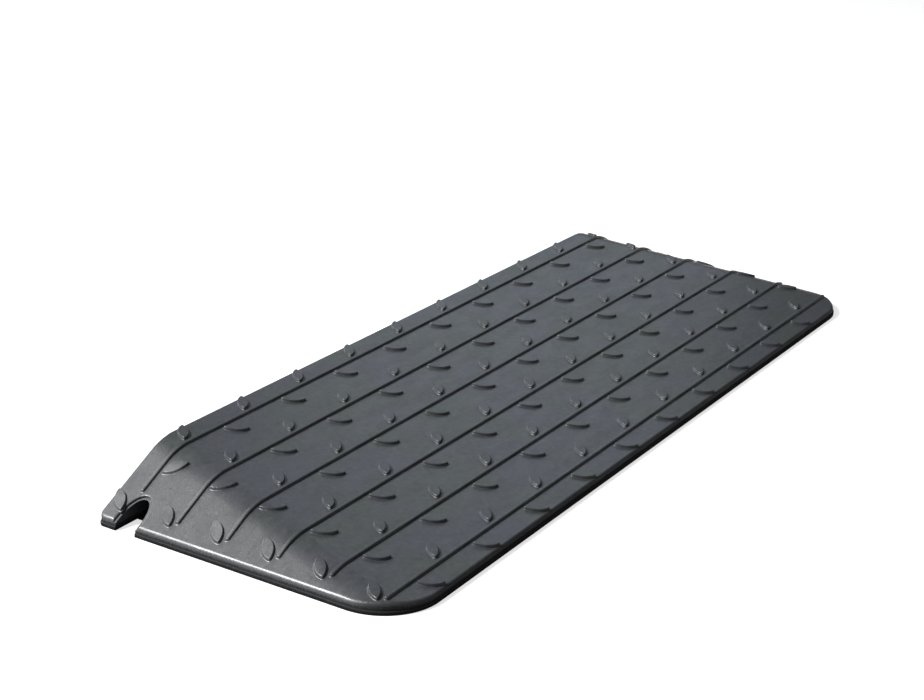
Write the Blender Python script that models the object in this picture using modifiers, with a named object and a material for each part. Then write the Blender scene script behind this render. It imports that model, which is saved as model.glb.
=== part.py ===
"""A rubber kerb ramp: one solid moulding with a studded tread and a cable and drain channel.

The ramp rises from a thin lip at the front (-Y) to a plain kerb face at the back (+Y). Both ends
(-X and +X) slope down to the same lip, so its top is a hipped roof with rounded hips. The tread is
moulded with it: lens-shaped studs in rows that lean one way and the other, and ribs along it
between every second row. Metres, +Z up, origin at the middle of the footprint on the ground.
"""
import math

import bmesh
import bpy
from mathutils import Matrix, Vector

NAME = "rubber_ramp"

# Body: the footprint is measured over the ledge at the mould's parting line
LENGTH = 1.107
DEPTH = 0.370
HEIGHT = 0.0625
LIP_HEIGHT = 0.010
END_RUN = 0.1005
HIP_RADIUS = 0.065
FRONT_CORNER_RADIUS = 0.064
BACK_CORNER_RADIUS = 0.008
EDGE_RADIUS = 0.0018

# Ledge round the foot, where the two halves of the mould meet
LEDGE_WIDTH = 0.0008
LEDGE_HEIGHT = 0.0045

# Channel for a cable or drain, right through the ramp along X
CHANNEL_WIDTH = 0.0256
CHANNEL_HEIGHT = 0.0244
CHANNEL_FROM_BACK = 0.0366

# Wider step let into each end slope round the channel's mouth, and the rib's gap above it
MOUTH_WIDTH = 0.0322
MOUTH_HEIGHT = 0.0276
MOUTH_STEP = 0.0025
MOUTH_GAP = 0.0036

# Studs: the place of the first one is taken from the left end and the back
STUD_LENGTH = 0.029
STUD_WIDTH = 0.012
STUD_HEIGHT = 0.003
STUD_LEAN = math.radians(45)
STUD_PITCH = 0.100
ROW_PITCH = 0.03125
FIRST_STUD = 0.0222
FIRST_ROW = 0.0117
STUD_EDGE_GAP = 0.0005

# Ribs
RIB_WIDTH = 0.004
RIB_HEIGHT = 0.0025
RIB_END_GAP = 0.0175
RIB_CORNER_RADIUS = 0.0018

# Fineness of the round shapes
HIP_STEPS = 6
CORNER_STEPS = 12
EDGE_STEPS = 2
SHARP_ANGLE = 35
STUD_STEPS = 5
CHANNEL_STEPS = 8
CHANNEL_ROUNDNESS = 0.98
ROUND_PROFILE = 0.5
TINY = 1e-6

LEFT, RIGHT = -LENGTH / 2, LENGTH / 2
FRONT, BACK = -DEPTH / 2, DEPTH / 2

# Blocks start half way up the ledge and reach above the ramp, where the roof shapes cut them off
BLOCK_FOOT = LEDGE_HEIGHT / 2
BLOCK_TOP = 2 * HEIGHT
ROOF_MARGIN = 0.06
RUBBER_COLOUR = (0.075, 0.082, 0.090, 1.0)
RUBBER_ROUGHNESS = 0.55


def clear_scene():
    for old in list(bpy.data.objects):
        bpy.data.objects.remove(old, do_unlink=True)


def new_collection(name):
    made = bpy.data.collections.new(name)
    bpy.context.scene.collection.children.link(made)
    return made


def mesh_object(name, bm, home):
    mesh = bpy.data.meshes.new(name)
    bm.normal_update()
    bm.to_mesh(mesh)
    bm.free()
    made = bpy.data.objects.new(name, mesh)
    home.objects.link(made)
    return made


def box(low, high):
    bm = bmesh.new()
    bmesh.ops.create_cube(bm, size=1.0)
    low, high = Vector(low), Vector(high)
    bmesh.ops.scale(bm, vec=high - low, verts=bm.verts)
    bmesh.ops.translate(bm, vec=(low + high) / 2, verts=bm.verts)
    return bm


def round_edges(bm, edges, radius, steps):
    bmesh.ops.bevel(bm, geom=edges, offset=radius, offset_type="OFFSET", segments=steps,
                    profile=ROUND_PROFILE, affect="EDGES", clamp_overlap=True)


def is_upright(edge):
    return (edge.verts[0].co - edge.verts[1].co).xy.length < TINY


def footprint(name, inset, bottom, top, home):
    """A block with the ramp's outline in plan, drawn in by the inset, with its corners rounded."""
    bm = box((LEFT + inset, FRONT + inset, bottom), (RIGHT - inset, BACK - inset, top))
    for radius, side in ((FRONT_CORNER_RADIUS, -1), (BACK_CORNER_RADIUS, 1)):
        corners = [e for e in bm.edges if is_upright(e) and e.verts[0].co.y * side > 0
                   and abs(e.verts[0].co.x) > LENGTH / 2 - inset - TINY]
        round_edges(bm, corners, radius - inset, CORNER_STEPS)
    return mesh_object(name, bm, home)


def cut_off_above(bm, point, normal):
    """Takes away what lies on the normal's side of a plane and closes the cut."""
    cut = bmesh.ops.bisect_plane(bm, geom=bm.verts[:] + bm.edges[:] + bm.faces[:], plane_co=point,
                                 plane_no=normal, clear_outer=True)
    rim = [part for part in cut["geom_cut"] if isinstance(part, bmesh.types.BMEdge)]
    bmesh.ops.edgeloop_fill(bm, edges=rim)


def end_normal(side):
    """The way an end slope faces: side is -1 on the left and 1 on the right."""
    return Vector((side * (HEIGHT - LIP_HEIGHT), 0, END_RUN)).normalized()


def roof(name, lift, home):
    """The hipped top as a solid that reaches past the footprint all round, raised by the lift."""
    tread = Vector((0, LIP_HEIGHT - HEIGHT, DEPTH)).normalized()
    ends = [end_normal(side) for side in (-1, 1)]
    deep = -ROOF_MARGIN
    bm = box((LEFT - ROOF_MARGIN, FRONT - ROOF_MARGIN, deep),
             (RIGHT + ROOF_MARGIN, BACK + ROOF_MARGIN, BLOCK_TOP + ROOF_MARGIN))
    cut_off_above(bm, (0, FRONT, LIP_HEIGHT + lift), tread)
    for side, normal in zip((LEFT, RIGHT), ends):
        cut_off_above(bm, (side, 0, LIP_HEIGHT + lift), normal)
    hips = []
    for edge in bm.edges:
        normals = [face.normal for face in edge.link_faces]
        if len(normals) == 2 and all(n.z > TINY for n in normals):
            hips.append(edge)
    tangent = HIP_RADIUS * math.tan(ends[0].angle(tread) / 2)
    round_edges(bm, hips, tangent, HIP_STEPS)
    return mesh_object(name, bm, home)


def stud_outline_mesh():
    """One stud at the origin, long in X: two equal arcs that meet in points, raised to a block."""
    half = STUD_LENGTH / 2
    radius = (half ** 2 + (STUD_WIDTH / 2) ** 2) / STUD_WIDTH
    sweep = 2 * math.asin(half / radius)
    drop = radius - STUD_WIDTH / 2
    bm = bmesh.new()
    for side in (-1, 1):
        start = bm.verts.new((side * half, 0, 0))
        bmesh.ops.spin(bm, geom=[start], cent=(0, -side * drop, 0), axis=(0, 0, 1), angle=sweep,
                       steps=STUD_STEPS)
    bmesh.ops.remove_doubles(bm, verts=bm.verts, dist=TINY)
    bmesh.ops.edgeloop_fill(bm, edges=bm.edges)
    mesh = bpy.data.meshes.new("stud_outline")
    bm.to_mesh(mesh)
    bm.free()
    return mesh


def raise_blocks(bm, bottom, top):
    """Raises flat outlines at z = 0 to blocks between the two heights."""
    grown = bmesh.ops.extrude_face_region(bm, geom=bm.faces[:])
    upper = [part for part in grown["geom"] if isinstance(part, bmesh.types.BMVert)]
    upper_set = set(upper)
    lower = [vert for vert in bm.verts if vert not in upper_set]
    bmesh.ops.translate(bm, vec=(0, 0, top), verts=upper)
    bmesh.ops.translate(bm, vec=(0, 0, bottom), verts=lower)
    bmesh.ops.recalc_face_normals(bm, faces=bm.faces)


def inside_footprint(x, y, gap):
    """True where a point of the plan lies inside the upper outline by at least the gap."""
    inset = LEDGE_WIDTH + gap
    if abs(x) > LENGTH / 2 - inset or abs(y) > DEPTH / 2 - inset:
        return False
    for radius, side in ((FRONT_CORNER_RADIUS, -1), (BACK_CORNER_RADIUS, 1)):
        out_x = abs(x) - (LENGTH / 2 - radius)
        out_y = y * side - (DEPTH / 2 - radius)
        if out_x > 0 and out_y > 0 and math.hypot(out_x, out_y) > radius - inset:
            return False
    return True


def mouth_depth():
    """How far in from an end the crown of the channel's mouth comes out through the slope."""
    return END_RUN * (MOUTH_HEIGHT - LIP_HEIGHT) / (HEIGHT - LIP_HEIGHT)


def over_channel(y, half_width):
    """True where a shape of this half width along Y lies over the channel."""
    return abs(y - (BACK - CHANNEL_FROM_BACK)) < CHANNEL_WIDTH / 2 + half_width


def stud_places():
    """Centre and lean of each stud that lies wholly on the ramp and clear of the channel's mouths."""
    rows = int((DEPTH - 2 * FIRST_ROW) / ROW_PITCH + 0.5) + 1
    for row in range(rows):
        leans_back = row % 2 == 0
        lean = STUD_LEAN if leans_back else -STUD_LEAN
        y = BACK - FIRST_ROW - row * ROW_PITCH
        x = LEFT + FIRST_STUD + (0 if leans_back else STUD_PITCH / 2)
        while x < RIGHT:
            reach = Vector((math.cos(lean), math.sin(lean))) * STUD_LENGTH / 2
            points = (Vector((x, y)) + reach, Vector((x, y)) - reach)
            outermost = max(abs(p.x) for p in points)
            at_mouth = over_channel(y, abs(reach.y)) and outermost > LENGTH / 2 - mouth_depth()
            if not at_mouth and all(inside_footprint(p.x, p.y, STUD_EDGE_GAP) for p in points):
                yield x, y, lean
            x += STUD_PITCH


def rib_places():
    """Each rib's y: midway between a row that leans back and the row in front of it."""
    y = BACK - FIRST_ROW - ROW_PITCH / 2
    while y > FRONT + FIRST_ROW:
        yield y
        y -= 2 * ROW_PITCH


def rib_end_gap(y):
    """How far a rib stops short of the lip: one that meets the channel stops above its mouth."""
    if over_channel(y, RIB_WIDTH / 2):
        return max(RIB_END_GAP, mouth_depth() + MOUTH_GAP)
    return RIB_END_GAP


def studs(home):
    outline = stud_outline_mesh()
    bm = bmesh.new()
    for x, y, lean in stud_places():
        known = set(bm.verts)
        bm.from_mesh(outline)
        fresh = [vert for vert in bm.verts if vert not in known]
        bmesh.ops.transform(bm, matrix=Matrix.Translation((x, y, 0)) @ Matrix.Rotation(lean, 4, "Z"),
                            verts=fresh)
    bpy.data.meshes.remove(outline)
    raise_blocks(bm, BLOCK_FOOT, BLOCK_TOP)
    return mesh_object("studs", bm, home)


def ribs(home):
    whole = bmesh.new()
    for y in rib_places():
        gap = rib_end_gap(y)
        bm = box((LEFT + gap, y - RIB_WIDTH / 2, BLOCK_FOOT),
                 (RIGHT - gap, y + RIB_WIDTH / 2, BLOCK_TOP))
        round_edges(bm, [e for e in bm.edges if is_upright(e)], RIB_CORNER_RADIUS, EDGE_STEPS)
        mesh = bpy.data.meshes.new("rib")
        bm.to_mesh(mesh)
        bm.free()
        whole.from_mesh(mesh)
        bpy.data.meshes.remove(mesh)
    return mesh_object("ribs", whole, home)


def arched_space(width, height):
    """The space of the channel or its mouths: upright walls, half-round top, longer than the ramp."""
    half = width / 2
    y = BACK - CHANNEL_FROM_BACK
    bm = box((LEFT - ROOF_MARGIN, y - half, -ROOF_MARGIN),
             (RIGHT + ROOF_MARGIN, y + half, height))
    top_edges = [e for e in bm.edges if all(v.co.z > 0 for v in e.verts)
                 and abs(e.verts[0].co.x - e.verts[1].co.x) > LENGTH]
    round_edges(bm, top_edges, half * CHANNEL_ROUNDNESS, CHANNEL_STEPS)
    return bm


def mouth(name, side, home):
    """The wider space of one mouth: what lies over a floor let into the end slope, parallel to it."""
    bm = arched_space(MOUTH_WIDTH, MOUTH_HEIGHT)
    normal = end_normal(side)
    edge_of_slope = Vector((side * LENGTH / 2, 0, LIP_HEIGHT))
    cut_off_above(bm, edge_of_slope - normal * MOUTH_STEP, -normal)
    return mesh_object(name, bm, home)


def boolean(target, operation, tool, solver="EXACT"):
    modifier = target.modifiers.new(tool.name, "BOOLEAN")
    modifier.operation = operation
    modifier.solver = solver
    modifier.object = tool
    tool.hide_render = True
    tool.display_type = "WIRE"


def soften_edges(target):
    modifier = target.modifiers.new("soft_edges", "BEVEL")
    modifier.width = EDGE_RADIUS
    modifier.segments = EDGE_STEPS
    modifier.limit_method = "ANGLE"
    modifier.angle_limit = math.radians(SHARP_ANGLE)
    modifier.use_clamp_overlap = False


def rubber():
    material = bpy.data.materials.new("black_rubber")
    material.use_nodes = True
    shader = material.node_tree.nodes["Principled BSDF"]
    shader.inputs["Base Color"].default_value = RUBBER_COLOUR
    shader.inputs["Roughness"].default_value = RUBBER_ROUGHNESS
    shader.inputs["Metallic"].default_value = 0.0
    material.diffuse_color = RUBBER_COLOUR
    return material


def main():
    clear_scene()
    parts = new_collection(NAME)
    cutters = new_collection("cutters")

    raised_studs = studs(cutters)
    boolean(raised_studs, "INTERSECT", roof("stud_tops", STUD_HEIGHT, cutters))
    raised_ribs = ribs(cutters)
    boolean(raised_ribs, "INTERSECT", roof("rib_tops", RIB_HEIGHT, cutters))

    body = footprint("ramp_body", LEDGE_WIDTH, BLOCK_FOOT, BLOCK_TOP, parts)
    body.data.materials.append(rubber())
    boolean(body, "INTERSECT", roof("tread_surface", 0, cutters))
    soften_edges(body)
    # The exact solver loses the body among so many studs, so these use the one for closed meshes
    boolean(body, "UNION", footprint("ledge", 0, 0, LEDGE_HEIGHT, cutters), "MANIFOLD")
    boolean(body, "UNION", raised_ribs, "MANIFOLD")
    boolean(body, "UNION", raised_studs, "MANIFOLD")
    for name, side in (("left_mouth", -1), ("right_mouth", 1)):
        boolean(body, "DIFFERENCE", mouth(name, side, cutters), "MANIFOLD")
    tunnel = mesh_object("channel", arched_space(CHANNEL_WIDTH, CHANNEL_HEIGHT), cutters)
    boolean(body, "DIFFERENCE", tunnel, "MANIFOLD")


main()
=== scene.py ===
"""Rubber kerb ramp: the looks of one solid moulding, its studded and ribbed tread and its rubber.

Each operator in the sidebar makes one part of the moulding, and the stage for its picture. Metres,
+Z up: the lip is at the front (-Y), the plain kerb face at the back (+Y).
"""
import math

import bmesh
import bpy
from bpy.props import FloatProperty, FloatVectorProperty, PointerProperty
from mathutils import Matrix, Vector


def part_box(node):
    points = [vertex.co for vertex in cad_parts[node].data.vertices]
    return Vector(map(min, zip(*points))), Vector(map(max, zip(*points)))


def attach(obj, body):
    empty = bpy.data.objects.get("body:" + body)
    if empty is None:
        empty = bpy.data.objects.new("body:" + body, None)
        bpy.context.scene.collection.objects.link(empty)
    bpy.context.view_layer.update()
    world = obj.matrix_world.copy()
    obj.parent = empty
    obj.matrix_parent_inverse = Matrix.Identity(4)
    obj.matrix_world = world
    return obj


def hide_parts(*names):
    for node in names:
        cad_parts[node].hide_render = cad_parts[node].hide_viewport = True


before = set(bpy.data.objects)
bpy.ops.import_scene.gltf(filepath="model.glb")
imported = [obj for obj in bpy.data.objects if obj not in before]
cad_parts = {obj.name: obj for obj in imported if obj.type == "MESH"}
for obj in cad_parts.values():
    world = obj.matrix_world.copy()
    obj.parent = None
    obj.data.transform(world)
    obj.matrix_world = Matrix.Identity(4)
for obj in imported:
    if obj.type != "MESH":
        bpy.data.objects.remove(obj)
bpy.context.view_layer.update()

bl_info = {
    "name": "Rubber Kerb Ramp",
    "version": (1, 0, 0),
    "blender": (4, 5, 0),
    "location": "View3D > Sidebar > Ramp",
    "description": "Models a rubber kerb ramp with studs, ribs and a cable channel",
    "category": "Object",
}

NODE = "ramp_body"
PIECE = "rubber_ramp"
FOOT_LOW, FOOT_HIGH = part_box(NODE)
TINY = 1e-6


def length(name, default, description):
    """A size in metres that a user can change."""
    return FloatProperty(name=name, description=description, default=default, min=0.0,
                         precision=4, unit="LENGTH", subtype="DISTANCE")


def angle(name, default, description):
    return FloatProperty(name=name, description=description, default=default, subtype="ANGLE",
                         unit="ROTATION")


def factor(name, default, description):
    """A share from 0 to 1."""
    return FloatProperty(name=name, description=description, default=default, min=0.0, max=1.0,
                         subtype="FACTOR")


def power(name, default, description):
    return FloatProperty(name=name, description=description, default=default, min=0.0,
                         unit="POWER")


def colour(name, default, description):
    return FloatVectorProperty(name=name, description=description, default=default, size=4,
                               min=0.0, max=1.0, subtype="COLOR")


class RampSizes(bpy.types.PropertyGroup):
    """Sizes of the moulding."""
    length: length("Length", FOOT_HIGH.x - FOOT_LOW.x, "Footprint along X, over the ledge")
    depth: length("Depth", FOOT_HIGH.y - FOOT_LOW.y, "Footprint along Y, over the ledge")
    height: length("Height", 0.0625, "Tread surface at the kerb face")
    lip: length("Lip", 0.010, "Tread surface at the front edge and at both ends")
    end_run: length("End run", 0.1005, "How far each end slope reaches in")
    hip_radius: length("Hip radius", 0.065, "Rounding where an end slope meets the tread")
    front_corner: length("Front corner", 0.064, "Corner radius in plan at the front")
    back_corner: length("Back corner", 0.008, "Corner radius in plan at the back")
    rim_radius: length("Rim radius", 0.0035, "Rounding of the top edge all round")
    ledge_width: length("Ledge width", 0.0012, "How far the ledge stands proud of the side")
    ledge_height: length("Ledge height", 0.0043, "Top of the ledge at the parting line")
    ledge_rounding: length("Ledge rounding", 0.0006, "Rounding of the ledge's edges")


class ChannelSizes(bpy.types.PropertyGroup):
    """Sizes of the cable and drain channel."""
    width: length("Width", 0.0256, "Clear width inside")
    height: length("Height", 0.0244, "Height of the crown above the ground")
    from_back: length("From back", 0.0366, "Distance of the middle from the kerb face")
    rim: length("Rim", 0.0008, "Rounding of the channel's edge in the step")
    mouth_width: length("Mouth width", 0.0322, "Width of the step round the mouth")
    mouth_height: length("Mouth height", 0.0276, "Height of the step's crown above the ground")
    mouth_step: length("Mouth step", 0.0025, "How deep the step is let into the end slope")
    mouth_gap: length("Mouth gap", 0.0036, "From the mouth's crown to the end of the rib above it")
    shoulder: length("Shoulder", 0.0024, "Width of the soft shoulder round the mouth")
    shoulder_drop: length("Shoulder drop", 0.0010, "How far the shoulder goes down")


class TreadSizes(bpy.types.PropertyGroup):
    """Sizes of the studs and ribs."""
    stud_length: length("Stud length", 0.029, "Point to point")
    stud_width: length("Stud width", 0.012, "Across the middle")
    stud_height: length("Stud height", 0.003, "Above the tread")
    stud_tip: length("Stud tip", 0.0016, "How far the points are cut back and rounded")
    stud_lean: angle("Stud lean", math.radians(45), "Turn from the ramp's length")
    stud_pitch: length("Stud pitch", 0.100, "From one stud to the next in a row")
    row_pitch: length("Row pitch", 0.03125, "From one row to the next")
    first_stud: length("First stud", 0.0222, "First stud's middle from the left end")
    first_row: length("First row", 0.0117, "First row's middle from the kerb face")
    edge_gap: length("Edge gap", 0.0001, "Least gap from a stud's point to the side")
    rib_width: length("Rib width", 0.004, "Across the rib")
    rib_height: length("Rib height", 0.0025, "Above the tread")
    rib_end_gap: length("Rib end gap", 0.0175, "From a rib's end to the end of the ramp")
    fillet: length("Fillet", 0.0010, "Hollow rounding where a stud or rib meets the tread")
    edge: length("Edge", 0.0011, "Rounding of a stud's or rib's top edge")
    root: length("Root", 0.0020, "How deep studs and ribs reach into the moulding")


class RubberLook(bpy.types.PropertyGroup):
    """Colours and finish of the rubber."""
    slate: colour("Slate", (0.078, 0.083, 0.099, 1.0), "Main colour of the rubber")
    olive: colour("Olive", (0.074, 0.083, 0.082, 1.0), "Warmer patches in the rubber")
    # pale_spots_and_light: paler random spots in the rubber, and painted light that makes both end
    # slopes paler, as if the lamp fell on them
    pale_spots_and_light: colour("Worn", (0.135, 0.142, 0.150, 1.0), "Paler spots, and the dusty end slopes")
    scuffed: colour("Scuffed", (0.27, 0.28, 0.295, 1.0), "Rubbed specks on the end slopes")
    # dark_spots_and_shade: darker random spots in the rubber, and painted shade on the sides near
    # the ground
    dark_spots_and_shade: colour("Grime", (0.030, 0.032, 0.035, 1.0), "Darker spots, and sides near the ground")
    # foot: a painted shadow, near black along the lowest edge, standing in for the shadow under the
    # ledge
    foot: colour("Foot", (0.008, 0.008, 0.009, 1.0), "The lowest edge, next to the ground")
    roughness: factor("Roughness", 0.39, "Main roughness of the rubber")
    gloss: factor("Gloss", 0.7, "Specular level of the rubber")
    bloom: factor("Bloom", 0.35, "Strength of the waxy bloom on the surface")
    bloom_roughness: factor("Bloom roughness", 0.22, "Roughness of the waxy bloom")
    mottle: length("Mottle", 0.00012, "Height of the soft unevenness")
    pebble: length("Pebble", 0.00022, "Height of the coarser grain")
    grain: length("Grain", 0.00009, "Height of the fine grain")


class StageLook(bpy.types.PropertyGroup):
    """Camera, lamps and floor."""
    camera_place: FloatVectorProperty(name="Camera", description="Where the camera stands",
                                      default=(-1.8361, -1.0214, 0.8596), subtype="TRANSLATION",
                                      unit="LENGTH")
    camera_turn: angle("Turn", 1.0232, "Heading, from +Y towards +X")
    camera_tilt: angle("Tilt", 0.3642, "How far it looks down")
    camera_roll: angle("Roll", 0.0354, "Roll of the camera")
    camera_lens: FloatProperty(name="Lens", description="Focal length",
                               default=73.89, min=10.0, unit="CAMERA")
    floor: colour("Floor", (0.80, 0.80, 0.80, 1.0), "Colour of the floor")
    key_power: power("Key", 200.0, "Power of the lamp behind the left end")
    back_power: power("Back", 20.0, "Power of the soft lamp behind the kerb face")
    glance_power: power("Glance", 3.4, "Power of the low lamp past the far end")
    sky: factor("Sky", 0.06, "Strength of the even light all round")


GUIDE = "top_guide"
GUIDE_TALL = 3  # the block that the guide is cut from, in heights of the ramp
RAY_START = 1.0  # metres above the ground, well clear of the ramp

# How finely each rounding is cut.
RIM_STEPS = 8
LEDGE_STEPS = 2
SHOULDER_STEPS = 5
CORNER_STEPS = 32
HIP_STEPS = 20
ARCH_STEPS = 16
STUD_STEPS = 7
TIP_STEPS = 2
RIB_END_STEPS = 4
ROUND_STEPS = 3

BACK_RIM = 0.2  # the rim's radius along the kerb face, as a share of the whole
RIB_END_ROUNDNESS = 0.95  # shares of a half round that leave a flat edge between two bevels
ARCH_ROUNDNESS = 0.98
FOOT_SPREAD = 0.0004  # how far a stud's or rib's foot goes on past its fillet, and under the tread
FOOT_SINK = 0.00004
CUT_MARGIN = 0.00001  # how far a shoulder's first ring stands clear of the slope
MERGE = 1e-5  # points nearer than this count as one
SHARP_ANGLE = math.radians(35)  # edges that turn more are rounded
SMOOTH_ANGLE = math.radians(32)  # edges that turn less are shaded smooth

# Noises of the rubber: features per metre, detail, roughness.
PATCH_NOISE = (14.0, 3.0, 0.55)
MOTTLE_NOISE = (160.0, 4.0, 0.6)
SCUFF_NOISE = (60.0, 4.0, 0.65)
PEBBLE_NOISE = (420.0, 2.0, 0.6)
GRAIN_NOISE = (1300.0, 2.0, 0.6)
SCUFF_STRETCH = (0.35, 1.0, 1.0)

# Values of a noise between which a mark comes in.
PATCHES = (0.40, 0.62)
LIGHT_SPOTS = (0.50, 0.75)
DARK_SPOTS = (0.50, 0.25)
SCUFFS = (0.45, 0.62)
SPECKS = (0.56, 0.74)
ROUGH_SPOTS = (0.3, 0.7)

# How strong each mark is, and how the roughness goes down and up about its main value.
SPOT_STRENGTH = 0.40
# END_SLOPE_LIGHT: how far both end slopes are painted towards the pale colour, painted light for
# the lamp falling on them
END_SLOPE_LIGHT = 0.95
RUBBED_TOPS = 0.3375
RUBBED_SPECKS = 0.6
# LOW_SHADE_*: painted shade on the low sides, darker towards the ground
LOW_SHADE_STRENGTH = 0.95
LOW_SHADE_ROUGHNESS = 0.3
ROUGH_DOWN = 0.06
ROUGH_UP = 0.08

# Where the marks lie: heights in metres, and for the tops a share of a rib's height.
ENDS_BLEND = 0.013
TOPS_FROM = 0.6
# Painted shade on the low sides fades out between these two heights
LOW_SHADE_FULL, LOW_SHADE_GONE = 0.0082, 0.0104
# The painted shadow along the foot fades out between these two heights
FOOT_SHADOW_FULL, FOOT_SHADOW_GONE = 0.0047, 0.0063
# How ragged the top edge of the painted shade and the painted shadow is
SHADE_RAGGED = 0.0050

# Floor, lamps and camera.
WHITE = (1.0, 1.0, 1.0, 1.0)
FLOOR_SIZE = 30.0
FLOOR_ROUGHNESS = 0.9
# The floor's colour in bounce light, and the painted shade it takes inside the channel and in
# reflections next to the ramp
FLOOR_BOUNCE_AND_SHADE = (0.10, 0.10, 0.10, 1.0)
FLOOR_GLOW = 0.70
FLOOR_FADE = 0.25
KEY_PLACE, KEY_SIZE = (-2.56, 2.20, 3.01), 0.9
BACK_PLACE, BACK_SIZE = (0.3, 2.6, 1.6), 1.2
GLANCE_PLACE, GLANCE_SIZE = (2.4, 1.11, 1.44), 1.2
GLANCE_COLOUR = (0.78, 0.90, 1.0)
SENSOR_WIDTH = 36.0


def settings():
    scene = bpy.context.scene
    return scene.ramp_sizes, scene.channel_sizes, scene.tread_sizes


def select_only(piece):
    bpy.ops.object.select_all(action="DESELECT")
    piece.select_set(True)
    bpy.context.view_layer.objects.active = piece


def start_edit(piece):
    select_only(piece)
    bpy.ops.object.mode_set(mode="EDIT")
    bpy.ops.mesh.select_mode(type="VERT")
    bpy.ops.mesh.select_all(action="DESELECT")


def end_edit():
    bpy.ops.object.mode_set(mode="OBJECT")


def choose(piece, kind, test):
    """Selects, in edit mode, only the parts of one kind for which the test holds."""
    bpy.ops.mesh.select_all(action="DESELECT")
    bpy.ops.mesh.select_mode(type=kind)
    bm = bmesh.from_edit_mesh(piece.data)
    for part in {"VERT": bm.verts, "EDGE": bm.edges, "FACE": bm.faces}[kind]:
        if test(part):
            part.select_set(True)
    bmesh.update_edit_mesh(piece.data)


def block(name, low, high):
    """A box between two corners, its place and size in its mesh."""
    low, high = Vector(low), Vector(high)
    bpy.ops.object.select_all(action="DESELECT")
    bpy.ops.mesh.primitive_cube_add(size=1, location=(low + high) / 2)
    piece = bpy.context.object
    piece.name = name
    piece.data.name = name
    piece.scale = high - low
    bpy.ops.object.transform_apply(location=True, rotation=True, scale=True)
    return piece


def sheet(name, half_x, half_y, level):
    """A flat rectangle about the origin, its size in its mesh."""
    bpy.ops.object.select_all(action="DESELECT")
    bpy.ops.mesh.primitive_plane_add(size=2, location=(0, 0, level))
    piece = bpy.context.object
    piece.name = name
    piece.data.name = name
    piece.scale = (half_x, half_y, 1)
    bpy.ops.object.transform_apply(location=True, rotation=True, scale=True)
    return piece


def footprint(name, inset, level):
    """A flat sheet with the ramp's outline in plan, drawn in by the inset, its corners rounded."""
    ramp, _, _ = settings()
    piece = sheet(name, ramp.length / 2 - inset, ramp.depth / 2 - inset, level)
    start_edit(piece)
    for radius, side in ((ramp.front_corner, -1), (ramp.back_corner, 1)):
        choose(piece, "VERT", lambda v: v.co.y * side > ramp.depth / 2 - inset - TINY)
        bpy.ops.mesh.bevel(offset=radius - inset, segments=CORNER_STEPS, affect="VERTICES")
    end_edit()
    return piece


def planes():
    """A point on each of the three top planes and its normal: the tread, the left and right end."""
    ramp, _, _ = settings()
    rise = ramp.height - ramp.lip
    tread = (Vector((0, -ramp.depth / 2, ramp.lip)), Vector((0, -rise, ramp.depth)).normalized())
    ends = [(Vector((side * ramp.length / 2, 0, ramp.lip)),
             Vector((side * rise, 0, ramp.end_run)).normalized()) for side in (-1, 1)]
    return [tread, *ends]


def roof(name):
    """The hipped top as a solid that reaches past the footprint all round, its hips rounded."""
    ramp, _, _ = settings()
    margin = ramp.height
    piece = block(name, (-ramp.length / 2 - margin, -ramp.depth / 2 - margin, -margin),
                  (ramp.length / 2 + margin, ramp.depth / 2 + margin, GUIDE_TALL * ramp.height))
    start_edit(piece)
    for point, normal in planes():
        bpy.ops.mesh.select_all(action="SELECT")
        bpy.ops.mesh.bisect(plane_co=point, plane_no=normal, use_fill=True, clear_outer=True)
    choose(piece, "EDGE", lambda e: len(e.link_faces) == 2
           and all(f.normal.z > TINY for f in e.link_faces))
    (_, tread), (_, end), _ = planes()
    tangent = ramp.hip_radius * math.tan(tread.angle(end) / 2)
    bpy.ops.mesh.bevel(offset=tangent, segments=HIP_STEPS, affect="EDGES")
    end_edit()
    return piece


def apply_modifier(piece, modifier):
    select_only(piece)
    bpy.ops.object.modifier_apply(modifier=modifier.name)


def combine(piece, operation, tool):
    """Joins a piece with a tool or cuts it by the tool, and removes the tool."""
    modifier = piece.modifiers.new(operation.lower(), "BOOLEAN")
    modifier.operation = operation
    modifier.solver = "MANIFOLD"
    modifier.object = tool
    apply_modifier(piece, modifier)
    bpy.data.objects.remove(tool, do_unlink=True)
    check_closed(piece)


def check_closed(piece):
    bm = bmesh.new()
    bm.from_mesh(piece.data)
    open_edges = sum(not edge.is_manifold for edge in bm.edges)
    bm.free()
    if open_edges:
        raise RuntimeError(f"{piece.name} has {open_edges} open edges")


def round_sharp_edges(piece, radius):
    modifier = piece.modifiers.new("rounding", "BEVEL")
    modifier.width = radius
    modifier.segments = LEDGE_STEPS
    modifier.limit_method = "ANGLE"
    modifier.angle_limit = SHARP_ANGLE
    modifier.use_clamp_overlap = False
    apply_modifier(piece, modifier)


def inset_rounded(radius, steps):
    """Insets the selected flat faces in steps that rise like a quarter round."""
    turn = math.pi / 2 / steps
    for step in range(steps):
        now, after = step * turn, (step + 1) * turn
        bpy.ops.mesh.inset(thickness=radius * (math.cos(now) - math.cos(after)),
                           depth=radius * (math.sin(after) - math.sin(now)))


def fold_lines(guide):
    """Where the guide's top bends: for each line a point and the normal of its upright plane."""
    bm = bmesh.new()
    bm.from_mesh(guide.data)
    lines = []
    for edge in bm.edges:
        if all(face.normal.z > TINY for face in edge.link_faces):
            along = edge.verts[1].co - edge.verts[0].co
            lines.append((edge.verts[0].co.copy(), Vector((along.y, -along.x, 0)).normalized()))
    bm.free()
    return lines


def height_at(piece, x, y):
    """Height of a piece's surface at a point of the plan, from above."""
    hit, place, _, _ = piece.ray_cast(Vector((x, y, RAY_START)), Vector((0, 0, -1)))
    if not hit:
        raise RuntimeError(f"nothing lies under {x:.4f}, {y:.4f}")
    return place.z


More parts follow.
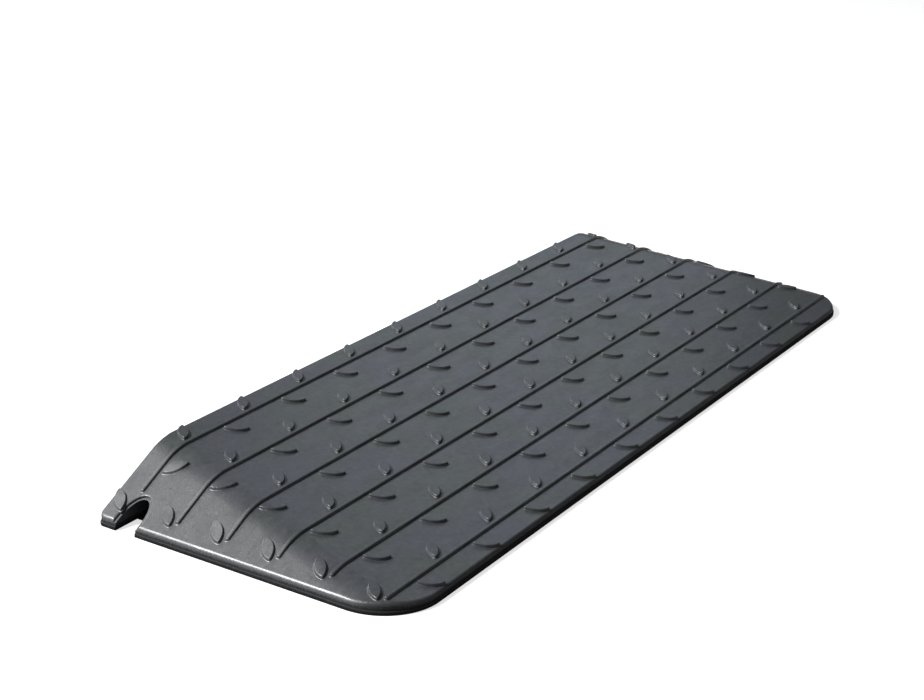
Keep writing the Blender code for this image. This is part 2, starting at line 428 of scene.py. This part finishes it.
def lay_on(piece, guide):
    """Cuts a flat piece where the guide's top bends, and lifts it point by point onto that top."""
    start_edit(piece)
    for place, normal in fold_lines(guide):
        bpy.ops.mesh.select_all(action="SELECT")
        bpy.ops.mesh.bisect(plane_co=place, plane_no=normal, use_fill=False)
    end_edit()
    for vert in piece.data.vertices:
        vert.co.z += height_at(guide, vert.co.x, vert.co.y)


def the_piece():
    piece = bpy.data.objects.get(PIECE)
    if piece is None:
        raise RuntimeError("the moulding has to be added first")
    return piece


def inside_top(x, y, gap):
    """True where a point of the plan lies inside the top's outline by at least the gap."""
    ramp, _, _ = settings()
    inset = ramp.ledge_width + gap
    if abs(x) > ramp.length / 2 - inset or abs(y) > ramp.depth / 2 - inset:
        return False
    for radius, side in ((ramp.front_corner, -1), (ramp.back_corner, 1)):
        out_x = abs(x) - (ramp.length / 2 - radius)
        out_y = y * side - (ramp.depth / 2 - radius)
        if out_x > 0 and out_y > 0 and math.hypot(out_x, out_y) > radius - inset:
            return False
    return True


def channel_y():
    ramp, channel, _ = settings()
    return ramp.depth / 2 - channel.from_back


def mouth_depth():
    """How far in from an end the crown of the channel's mouth comes out through the slope."""
    ramp, channel, _ = settings()
    return ramp.end_run * (channel.mouth_height - ramp.lip) / (ramp.height - ramp.lip)


def over_channel(y, half_width):
    _, channel, _ = settings()
    return abs(y - channel_y()) < channel.width / 2 + half_width


def stud_places():
    """Centre and lean of each stud that lies wholly on the top, clear of the channel's mouths."""
    ramp, _, tread = settings()
    rows = int((ramp.depth - 2 * tread.first_row) / tread.row_pitch + 0.5) + 1
    for row in range(rows):
        leans_back = row % 2 == 0
        lean = tread.stud_lean if leans_back else -tread.stud_lean
        y = ramp.depth / 2 - tread.first_row - row * tread.row_pitch
        x = -ramp.length / 2 + tread.first_stud + (0 if leans_back else tread.stud_pitch / 2)
        while x < ramp.length / 2:
            reach = Vector((math.cos(lean), math.sin(lean))) * tread.stud_length / 2
            points = (Vector((x, y)) + reach, Vector((x, y)) - reach)
            outermost = max(abs(p.x) for p in points)
            at_mouth = over_channel(y, abs(reach.y)) and outermost > ramp.length / 2 - mouth_depth()
            if not at_mouth and all(inside_top(p.x, p.y, tread.edge_gap) for p in points):
                yield x, y, lean
            x += tread.stud_pitch


def rib_places():
    ramp, _, tread = settings()
    y = ramp.depth / 2 - tread.first_row - tread.row_pitch / 2
    while y > -ramp.depth / 2 + tread.first_row:
        yield y
        y -= 2 * tread.row_pitch


def raised_profile(height):
    """The shape of a stud or rib from its root up: heights, and how far out its side is there."""
    _, _, tread = settings()
    fillet, edge = tread.fillet, tread.edge
    turns = [math.pi / 2 * step / ROUND_STEPS for step in range(ROUND_STEPS + 1)]
    foot = [(fillet * (1 - math.cos(turn)), fillet * (1 - math.sin(turn))) for turn in turns]
    top = [(height - edge * (1 - math.sin(turn)), -edge * (1 - math.cos(turn))) for turn in turns]
    return [(-tread.root, fillet + FOOT_SPREAD), (-FOOT_SINK, fillet + FOOT_SPREAD), *foot, *top]


def raise_outline(piece, half_length, half_width, height):
    """Raises a flat outline band by band to a closed solid, its foot filleted, its top rounded."""
    start_edit(piece)
    bpy.ops.mesh.select_all(action="SELECT")
    level, reach = 0, 0
    for number, (next_level, next_reach) in enumerate(raised_profile(height)):
        move = (0, 0, next_level - level)
        if number == 0:
            bpy.ops.transform.translate(value=move)
        else:
            bpy.ops.mesh.extrude_region_move(TRANSFORM_OT_translate={"value": move})
        bpy.ops.transform.resize(value=((half_length + next_reach) / (half_length + reach),
                                        (half_width + next_reach) / (half_width + reach), 1),
                                 center_override=(0, 0, 0))
        level, reach = next_level, next_reach
    bpy.ops.mesh.select_all(action="SELECT")
    bpy.ops.mesh.normals_make_consistent(inside=False)
    end_edit()


def stud():
    """One stud at the origin, long in X: two arcs that meet in blunt points, then raised."""
    _, _, tread = settings()
    half_length, half_width = tread.stud_length / 2, tread.stud_width / 2
    radius = (half_length ** 2 + half_width ** 2) / tread.stud_width
    bpy.ops.object.select_all(action="DESELECT")
    bpy.ops.mesh.primitive_plane_add(size=half_length)
    piece = bpy.context.object
    piece.name = "stud"
    start_edit(piece)
    bpy.ops.mesh.select_all(action="SELECT")
    bpy.ops.mesh.merge(type="CENTER")
    bpy.ops.transform.translate(value=(-half_length, 0, 0))
    bpy.ops.mesh.spin(steps=STUD_STEPS, angle=2 * math.asin(half_length / radius),
                      center=(0, half_width - radius, 0), axis=(0, 0, 1))
    bpy.ops.mesh.select_all(action="SELECT")
    bpy.ops.mesh.duplicate()
    bpy.ops.transform.rotate(value=math.pi, orient_axis="Z", center_override=(0, 0, 0))
    bpy.ops.mesh.select_all(action="SELECT")
    bpy.ops.mesh.remove_doubles(threshold=MERGE)
    bpy.ops.mesh.edge_face_add()
    choose(piece, "VERT", lambda v: abs(v.co.x) > half_length - MERGE)
    bpy.ops.mesh.bevel(offset=tread.stud_tip, segments=TIP_STEPS, affect="VERTICES")
    end_edit()
    raise_outline(piece, half_length, half_width, tread.stud_height)
    return piece


def rib(gap):
    """One straight rib along the X axis, its round ends short of the ramp's ends by the gap."""
    ramp, _, tread = settings()
    half_length, half_width = ramp.length / 2 - gap, tread.rib_width / 2
    piece = sheet("rib", half_length, half_width, 0)
    start_edit(piece)
    bpy.ops.mesh.select_all(action="SELECT")
    bpy.ops.mesh.bevel(offset=half_width * RIB_END_ROUNDNESS, segments=RIB_END_STEPS,
                       affect="VERTICES")
    end_edit()
    raise_outline(piece, half_length, half_width, tread.rib_height)
    return piece


def copy_to(piece, matrix):
    """A copy of a stud or rib with its own mesh, placed in plan."""
    copy = bpy.data.objects.new(piece.name, piece.data.copy())
    bpy.context.scene.collection.objects.link(copy)
    copy.data.transform(matrix)
    return copy


def join(pieces):
    bpy.ops.object.select_all(action="DESELECT")
    for piece in pieces:
        piece.select_set(True)
    bpy.context.view_layer.objects.active = pieces[0]
    bpy.ops.object.join()
    return pieces[0]


def arched_space(name, width, height):
    """The space of the channel or a mouth, longer than the ramp: upright walls, half-round top."""
    ramp, _, _ = settings()
    half, y = width / 2, channel_y()
    reach = ramp.length / 2 + ramp.height
    piece = block(name, (-reach, y - half, -ramp.height), (reach, y + half, height))
    start_edit(piece)
    choose(piece, "EDGE", lambda e: all(v.co.z > 0 for v in e.verts)
           and abs(e.verts[0].co.x - e.verts[1].co.x) > ramp.length)
    bpy.ops.mesh.bevel(offset=half * ARCH_ROUNDNESS, segments=ARCH_STEPS, affect="EDGES")
    end_edit()
    return piece


def widen(piece, crown, place, normal, width, drop):
    """Widens an arched space where it comes out through a plane, in a rounded shoulder."""
    turn = 2 * math.atan(drop / width)
    radius = width / math.sin(turn)
    arc = [turn * step / SHOULDER_STEPS for step in range(SHOULDER_STEPS + 1)]
    rings = [(radius * (1 - math.cos(t)) - CUT_MARGIN, width - radius * math.sin(t)) for t in arc]
    start_edit(piece)
    for depth, _ in rings:
        bpy.ops.mesh.select_all(action="SELECT")
        bpy.ops.mesh.bisect(plane_co=place - normal * depth, plane_no=normal)
    end_edit()
    axis = Vector((0, channel_y(), crown))
    for vert in piece.data.vertices:
        depth = (place - vert.co).dot(normal)
        push = next((reach for level, reach in rings if depth < level + MERGE), 0)
        if push > 0 and vert.co.x * normal.x > 0:
            out = Vector((0, vert.co.y - axis.y, max(0, vert.co.z - axis.z))).normalized() * push
            vert.co += Vector((-out.z * normal.z / normal.x, out.y, out.z))


def mouth(place, normal):
    """The space of one mouth: all above a floor let into the end slope, with a soft shoulder."""
    _, channel, _ = settings()
    piece = arched_space("mouth", channel.mouth_width, channel.mouth_height)
    start_edit(piece)
    bpy.ops.mesh.select_all(action="SELECT")
    bpy.ops.mesh.bisect(plane_co=place - normal * channel.mouth_step, plane_no=normal,
                        use_fill=True, clear_inner=True)
    end_edit()
    widen(piece, channel.mouth_height - channel.mouth_width / 2, place, normal,
          channel.shoulder, channel.shoulder_drop)
    return piece


def sharpen_back(piece):
    """Makes the rim crisp along the back edge, and lets this fade out round the corners."""
    ramp, _, _ = settings()
    corner = ramp.back_corner - ramp.ledge_width
    middle = Vector((ramp.length / 2 - ramp.back_corner, ramp.depth / 2 - ramp.back_corner))
    for vert in piece.data.vertices:
        off = Vector((max(0, abs(vert.co.x) - middle.x), vert.co.y - middle.y))
        inset = corner - off.length
        if off.y > 0 and inset < ramp.rim_radius + TINY:
            keep = 1 - (1 - BACK_RIM) * (off.y / off.length) ** 2
            out = off.normalized() * inset * (1 - keep)
            vert.co += Vector((math.copysign(out.x, vert.co.x), out.y, 0))
            vert.co.z *= keep


def wall_down_to(piece, level):
    """Closes an open sheet: upright walls from its border to a level, and a flat floor there."""
    start_edit(piece)
    choose(piece, "EDGE", lambda e: len(e.link_faces) == 1)
    bpy.ops.mesh.extrude_region_move()
    bpy.ops.transform.resize(value=(1, 1, 0), center_override=(0, 0, level))
    bpy.ops.mesh.edge_face_add()
    bpy.ops.mesh.select_all(action="SELECT")
    bpy.ops.mesh.normals_make_consistent(inside=False)
    end_edit()


class RAMP_OT_moulding(bpy.types.Operator):
    """Add the moulding: a hipped block with rounded rims on the ledge of the parting line"""
    bl_idname = "ramp.moulding"
    bl_label = "Moulding"

    def execute(self, context):
        ramp, _, _ = settings()
        guide = roof(GUIDE)
        guide.hide_render = True
        piece = footprint(PIECE, ramp.ledge_width, -ramp.rim_radius)
        start_edit(piece)
        bpy.ops.mesh.select_all(action="SELECT")
        inset_rounded(ramp.rim_radius, RIM_STEPS)
        end_edit()
        sharpen_back(piece)
        lay_on(piece, guide)
        wall_down_to(piece, ramp.ledge_height / 2)
        ledge = footprint("ledge", 0, ramp.ledge_height)
        wall_down_to(ledge, 0)
        round_sharp_edges(ledge, ramp.ledge_rounding)
        combine(piece, "UNION", ledge)
        return {"FINISHED"}


class RAMP_OT_channel(bpy.types.Operator):
    """Cut the cable and drain channel through the moulding, and the step round each mouth"""
    bl_idname = "ramp.channel"
    bl_label = "Channel"

    def execute(self, context):
        _, channel, _ = settings()
        piece = the_piece()
        tunnel = arched_space("channel", channel.width, channel.height)
        for place, normal in planes()[1:]:
            combine(piece, "DIFFERENCE", mouth(place, normal))
            widen(tunnel, channel.height - channel.width / 2, place - normal * channel.mouth_step,
                  normal, channel.rim, channel.rim)
        combine(piece, "DIFFERENCE", tunnel)
        return {"FINISHED"}


class RAMP_OT_ribs(bpy.types.Operator):
    """Add the ribs that run along the ramp and over its hips"""
    bl_idname = "ramp.ribs"
    bl_label = "Ribs"

    def execute(self, context):
        _, channel, tread = settings()
        piece, ribs = the_piece(), []
        for y in rib_places():
            gap = tread.rib_end_gap
            if over_channel(y, tread.rib_width / 2):
                gap = max(gap, mouth_depth() + channel.mouth_gap)
            one = rib(gap)
            one.data.transform(Matrix.Translation((0, y, 0)))
            ribs.append(one)
        ribs = join(ribs)
        lay_on(ribs, bpy.data.objects[GUIDE])
        join([piece, ribs])
        return {"FINISHED"}


class RAMP_OT_studs(bpy.types.Operator):
    """Add the lens-shaped studs in rows that lean one way and the other"""
    bl_idname = "ramp.studs"
    bl_label = "Studs"

    def execute(self, context):
        piece, model = the_piece(), stud()
        studs = join([copy_to(model, Matrix.Translation((x, y, 0)) @ Matrix.Rotation(lean, 4, "Z"))
                      for x, y, lean in stud_places()])
        bpy.data.objects.remove(model, do_unlink=True)
        lay_on(studs, bpy.data.objects[GUIDE])
        join([piece, studs])
        return {"FINISHED"}


class RAMP_OT_finish(bpy.types.Operator):
    """Shade the moulding, give it its rubber and let it stand for the plain solid"""
    bl_idname = "ramp.finish"
    bl_label = "Rubber"

    def execute(self, context):
        piece = the_piece()
        bpy.data.objects.remove(bpy.data.objects[GUIDE], do_unlink=True)
        select_only(piece)
        bpy.ops.object.shade_smooth_by_angle(angle=SMOOTH_ANGLE)
        weighted = piece.modifiers.new("flat_faces", "WEIGHTED_NORMAL")
        weighted.keep_sharp = True
        apply_modifier(piece, weighted)
        piece.data.materials.clear()
        piece.data.materials.append(rubber())
        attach(piece, "root")
        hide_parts(NODE)
        return {"FINISHED"}


def add_node(tree, kind, place, **values):
    """A shader node at a place in the editor, its named inputs set to plain values."""
    node = tree.nodes.new(kind)
    node.location = place
    for name, value in values.items():
        node.inputs[name].default_value = value
    return node


def maths(tree, operation, place, first, second=None, third=None):
    node = tree.nodes.new("ShaderNodeMath")
    node.operation = operation
    node.location = place
    for number, value in enumerate((first, second, third)):
        if isinstance(value, (int, float)):
            node.inputs[number].default_value = value
        elif value is not None:
            tree.links.new(value, node.inputs[number])
    return node.outputs["Value"]


def noise(tree, place, vector, scale, detail, rough, stretch=None):
    """A noise texture's value on a vector, in features per metre."""
    node = add_node(tree, "ShaderNodeTexNoise", place, Scale=scale, Detail=detail, Roughness=rough)
    if stretch:
        mapping = add_node(tree, "ShaderNodeMapping", (place[0] - 180, place[1]), Scale=stretch)
        tree.links.new(vector, mapping.inputs["Vector"])
        vector = mapping.outputs["Vector"]
    tree.links.new(vector, node.inputs["Vector"])
    return node.outputs["Fac"]


def spread(tree, place, value, low, high, to_low=0.0, to_high=1.0):
    """Maps a value from one range to another, smoothly and held at its ends."""
    node = tree.nodes.new("ShaderNodeMapRange")
    node.location = place
    node.interpolation_type = "SMOOTHSTEP"
    node.inputs["From Min"].default_value = low
    node.inputs["From Max"].default_value = high
    node.inputs["To Min"].default_value = to_low
    node.inputs["To Max"].default_value = to_high
    tree.links.new(value, node.inputs["Value"])
    return node.outputs["Result"]


def blend(tree, place, amount, first, second):
    """Mixes two colours by an amount; each is a colour or another node's output."""
    node = tree.nodes.new("ShaderNodeMix")
    node.data_type = "RGBA"
    node.location = place
    amount_in = next(s for s in node.inputs if s.name == "Factor" and s.type == "VALUE")
    first_in, second_in = [s for s in node.inputs if s.type == "RGBA"]
    tree.links.new(amount, amount_in)
    for socket, value in ((first_in, first), (second_in, second)):
        if isinstance(value, bpy.types.NodeSocket):
            tree.links.new(value, socket)
        else:
            socket.default_value = tuple(value)
    return next(s for s in node.outputs if s.type == "RGBA")


def rubber():
    """Black rubber: faint patches, rubbed end slopes painted paler as painted light, painted shade
    low down and a painted shadow at the foot, three grains.
    """
    look = bpy.context.scene.rubber_look
    ramp, _, tread = settings()
    material = bpy.data.materials.new("moulded_rubber")
    material.use_nodes = True
    tree = material.node_tree
    shader = tree.nodes["Principled BSDF"]
    shader.location = (600, 0)
    point = add_node(tree, "ShaderNodeTexCoord", (-1600, 0)).outputs["Object"]
    apart = add_node(tree, "ShaderNodeSeparateXYZ", (-1400, -400))
    tree.links.new(point, apart.inputs["Vector"])
    x, y, z = (apart.outputs[axis] for axis in "XYZ")

    patches = noise(tree, (-1100, 400), point, *PATCH_NOISE)
    mottle = noise(tree, (-1100, 200), point, *MOTTLE_NOISE)
    scuffs = noise(tree, (-1100, 0), point, *SCUFF_NOISE, SCUFF_STRETCH)
    pebble = noise(tree, (-1100, -200), point, *PEBBLE_NOISE)
    grain = noise(tree, (-1100, -400), point, *GRAIN_NOISE)

    # How high the tread's plane and the end slopes' planes lie at each place.
    rise = ramp.height - ramp.lip
    away = maths(tree, "ABSOLUTE", (-1200, 1000), x)
    up_tread = maths(tree, "MULTIPLY_ADD", (-1000, 900), y, rise / ramp.depth, ramp.lip + rise / 2)
    up_end = maths(tree, "MULTIPLY_ADD", (-1000, 1000), away, -rise / ramp.end_run,
                   ramp.lip + rise * ramp.length / 2 / ramp.end_run)
    base = maths(tree, "MINIMUM", (-800, 950), up_tread, up_end)
    above = maths(tree, "SUBTRACT", (-600, 950), z, base)
    past_hip = maths(tree, "SUBTRACT", (-800, 700), up_tread, up_end)
    ends = spread(tree, (-700, 600), past_hip, 0.0, ENDS_BLEND)

    patchy = spread(tree, (-900, 400), patches, *PATCHES)
    tone = blend(tree, (-600, 400), patchy, look.slate, look.olive)
    # Painted light: both end slopes are painted paler, standing in for the light that falls on them
    end_slope_light = maths(tree, "MULTIPLY", (-600, 600), ends, END_SLOPE_LIGHT)
    tone = blend(tree, (-500, 600), end_slope_light, tone, look.pale_spots_and_light)
    light = spread(tree, (-600, 200), mottle, *LIGHT_SPOTS, 0.0, SPOT_STRENGTH)
    tone = blend(tree, (-400, 400), light, tone, look.pale_spots_and_light)
    dark = spread(tree, (-600, 0), mottle, *DARK_SPOTS, 0.0, SPOT_STRENGTH)
    tone = blend(tree, (-200, 400), dark, tone, look.dark_spots_and_shade)

    tops = spread(tree, (-400, 950), above, tread.rib_height * TOPS_FROM, tread.rib_height)
    specks = spread(tree, (-200, 700), pebble, *SPECKS, 0.0, RUBBED_SPECKS)
    scuffed_tops = maths(tree, "MULTIPLY", (-400, 800), tops,
                         spread(tree, (-600, 800), scuffs, *SCUFFS))
    rubbed = maths(tree, "MULTIPLY_ADD", (-200, 800), scuffed_tops, RUBBED_TOPS, specks)
    rubbed_ends = maths(tree, "MULTIPLY", (-100, 800), rubbed, ends)
    tone = blend(tree, (0, 600), rubbed_ends, tone, look.scuffed)

    # Painted shade: all sides below about a lip's height, the mouths' walls with them, are painted
    # darker and rougher towards the ground
    ragged = maths(tree, "MULTIPLY_ADD", (-400, 1100), pebble, SHADE_RAGGED, z)
    low_side_shade = spread(tree, (-200, 1100), ragged, LOW_SHADE_FULL, LOW_SHADE_GONE, LOW_SHADE_STRENGTH, 0.0)
    tone = blend(tree, (200, 600), low_side_shade, tone, look.dark_spots_and_shade)
    # Painted shadow: the lowest edge is painted near black, standing in for the shadow under the
    # ledge
    foot = spread(tree, (-200, 1300), ragged, FOOT_SHADOW_FULL, FOOT_SHADOW_GONE, 1.0, 0.0)
    tone = blend(tree, (400, 600), foot, tone, look.foot)
    tree.links.new(tone, shader.inputs["Base Color"])

    rough = spread(tree, (-200, 0), scuffs, *ROUGH_SPOTS, look.roughness - ROUGH_DOWN,
                   look.roughness + ROUGH_UP)
    rough = maths(tree, "MULTIPLY_ADD", (0, 0), low_side_shade, LOW_SHADE_ROUGHNESS, rough)
    tree.links.new(rough, shader.inputs["Roughness"])
    shader.inputs["Metallic"].default_value = 0.0
    shader.inputs["Specular IOR Level"].default_value = look.gloss
    shader.inputs["Coat Weight"].default_value = look.bloom
    shader.inputs["Coat Roughness"].default_value = look.bloom_roughness

    normal = None
    grains = ((0, mottle, look.mottle), (200, pebble, look.pebble), (400, grain, look.grain))
    for place, height, depth in grains:
        bump = add_node(tree, "ShaderNodeBump", (place, -300), Strength=1.0, Distance=depth)
        tree.links.new(height, bump.inputs["Height"])
        if normal:
            tree.links.new(normal, bump.inputs["Normal"])
        normal = bump.outputs["Normal"]
    tree.links.new(normal, shader.inputs["Normal"])
    return material


def soft_lamp(name, place, size, energy):
    """A square soft lamp at a place, turned towards the ramp."""
    lamp = bpy.data.lights.new(name, "AREA")
    lamp.size = size
    lamp.energy = energy
    holder = bpy.data.objects.new(name, lamp)
    holder.location = place
    holder.rotation_euler = (-Vector(place)).to_track_quat("-Z", "Y").to_euler()
    bpy.context.scene.collection.objects.link(holder)
    return lamp


def floor_material():
    """Plain pale floor, white to the camera and in reflections.

    Inside the channel it is painted dark, as painted shade, and next to the ramp it fades to dark
    in reflections, as a painted shadow.
    """
    ramp, channel, _ = settings()
    material = bpy.data.materials.new("pale_floor")
    material.use_nodes = True
    tree = material.node_tree
    shader = tree.nodes["Principled BSDF"]
    shader.inputs["Roughness"].default_value = FLOOR_ROUGHNESS
    shader.inputs["Specular IOR Level"].default_value = 0.0
    point = add_node(tree, "ShaderNodeTexCoord", (-1500, -100)).outputs["Object"]
    apart = add_node(tree, "ShaderNodeSeparateXYZ", (-1300, -100))
    tree.links.new(point, apart.inputs["Vector"])
    x = maths(tree, "ABSOLUTE", (-1100, 0), apart.outputs["X"])
    y = maths(tree, "ABSOLUTE", (-1100, -150), apart.outputs["Y"])
    # Painted shade: inside the channel the floor loses its glow and takes the dark colour
    off_middle = maths(tree, "SUBTRACT", (-1100, -300), apart.outputs["Y"], channel_y())
    off_middle = maths(tree, "ABSOLUTE", (-1000, -300), off_middle)
    across = maths(tree, "LESS_THAN", (-900, -300), off_middle, channel.mouth_width / 2)
    along = maths(tree, "LESS_THAN", (-900, -450), x, ramp.length / 2 - mouth_depth())
    in_channel = maths(tree, "MULTIPLY", (-700, -350), across, along)
    # Painted shadow in reflections: next to the ramp the floor fades to the dark colour
    gap = maths(tree, "MAXIMUM", (-900, 0), maths(tree, "SUBTRACT", (-1000, 0), x, ramp.length / 2),
                maths(tree, "SUBTRACT", (-1000, -150), y, ramp.depth / 2))
    far = spread(tree, (-700, 0), gap, 0.0, FLOOR_FADE)
    rays = add_node(tree, "ShaderNodeLightPath", (-900, 300))
    direct = maths(tree, "SUBTRACT", (-500, 200), rays.outputs["Is Camera Ray"], in_channel)
    mirrored = maths(tree, "MAXIMUM", (-700, 300), rays.outputs["Is Glossy Ray"],
                     rays.outputs["Is Transmission Ray"])
    mirrored = maths(tree, "MULTIPLY", (-500, 0), mirrored, far)
    white = maths(tree, "MAXIMUM", (-350, 100), direct, mirrored)
    floor_colour = bpy.context.scene.stage_look.floor
    tone = blend(tree, (-200, 200), white, FLOOR_BOUNCE_AND_SHADE, floor_colour)
    tree.links.new(tone, shader.inputs["Base Color"])
    tree.links.new(maths(tree, "MULTIPLY", (-200, -100), white, FLOOR_GLOW),
                   shader.inputs["Emission Strength"])
    shader.inputs["Emission Color"].default_value = WHITE
    return material


def aim(stage):
    """The camera's turn in space, from its heading, its tilt and its roll."""
    turn, tilt, roll = stage.camera_turn, stage.camera_tilt, stage.camera_roll
    ahead = Vector((math.sin(turn) * math.cos(tilt), math.cos(turn) * math.cos(tilt),
                    -math.sin(tilt)))
    level = Vector((math.cos(turn), -math.sin(turn), 0))
    above = level.cross(ahead)
    right = math.cos(roll) * level + math.sin(roll) * above
    up = math.cos(roll) * above - math.sin(roll) * level
    return Matrix((right, up, -ahead)).transposed().to_4x4()


class RAMP_OT_stage(bpy.types.Operator):
    """Add the floor, the soft lamps, the even light and the camera"""
    bl_idname = "ramp.stage"
    bl_label = "Stage"

    def execute(self, context):
        stage = context.scene.stage_look
        bpy.ops.object.select_all(action="DESELECT")
        bpy.ops.mesh.primitive_plane_add(size=FLOOR_SIZE, location=(0, 0, 0))
        floor = context.object
        floor.name = "floor"
        floor.data.materials.append(floor_material())

        soft_lamp("key", KEY_PLACE, KEY_SIZE, stage.key_power)
        soft_lamp("back", BACK_PLACE, BACK_SIZE, stage.back_power)
        glance = soft_lamp("glance", GLANCE_PLACE, GLANCE_SIZE, stage.glance_power)
        glance.color = GLANCE_COLOUR

        world = bpy.data.worlds.new("studio")
        context.scene.world = world
        world.use_nodes = True
        tree = world.node_tree
        back = tree.nodes["Background"]
        rays = add_node(tree, "ShaderNodeLightPath", (-700, 0))
        seen = maths(tree, "MAXIMUM", (-500, 0), rays.outputs["Is Camera Ray"],
                     rays.outputs["Is Transmission Ray"])
        strength = spread(tree, (-300, 0), seen, 0.0, 1.0, stage.sky, 1.0)
        tree.links.new(strength, back.inputs["Strength"])
        back.inputs["Color"].default_value = WHITE

        camera = bpy.data.cameras.new("camera")
        camera.lens = stage.camera_lens
        camera.sensor_width = SENSOR_WIDTH
        holder = bpy.data.objects.new("camera", camera)
        holder.matrix_world = Matrix.Translation(stage.camera_place) @ aim(stage)
        context.scene.collection.objects.link(holder)
        context.scene.camera = holder
        context.scene.view_settings.view_transform = "Standard"
        return {"FINISHED"}


class RAMP_PT_panel(bpy.types.Panel):
    """Lists what makes the ramp, with its sizes and its look."""
    bl_label = "Rubber Kerb Ramp"
    bl_idname = "RAMP_PT_panel"
    bl_space_type = "VIEW_3D"
    bl_region_type = "UI"
    bl_category = "Ramp"

    def draw(self, context):
        for operator in OPERATORS:
            self.layout.operator(operator.bl_idname)
        for name, group in GROUPS.items():
            box = self.layout.box()
            box.label(text=group.__doc__)
            for prop in group.__annotations__:
                box.prop(getattr(context.scene, name), prop)


OPERATORS = (RAMP_OT_moulding, RAMP_OT_channel, RAMP_OT_ribs, RAMP_OT_studs, RAMP_OT_finish,
             RAMP_OT_stage)
GROUPS = {"ramp_sizes": RampSizes, "channel_sizes": ChannelSizes, "tread_sizes": TreadSizes,
          "rubber_look": RubberLook, "stage_look": StageLook}


def register():
    for kind in (*GROUPS.values(), *OPERATORS, RAMP_PT_panel):
        bpy.utils.register_class(kind)
    for name, group in GROUPS.items():
        setattr(bpy.types.Scene, name, PointerProperty(type=group))


def unregister():
    for name in GROUPS:
        delattr(bpy.types.Scene, name)
    for kind in (RAMP_PT_panel, *reversed(OPERATORS), *reversed(GROUPS.values())):
        bpy.utils.unregister_class(kind)


def main():
    register()
    bpy.ops.ramp.moulding()
    bpy.ops.ramp.channel()
    bpy.ops.ramp.ribs()
    bpy.ops.ramp.studs()
    bpy.ops.ramp.finish()
    bpy.ops.ramp.stage()


if __name__ == "__main__":
    main()
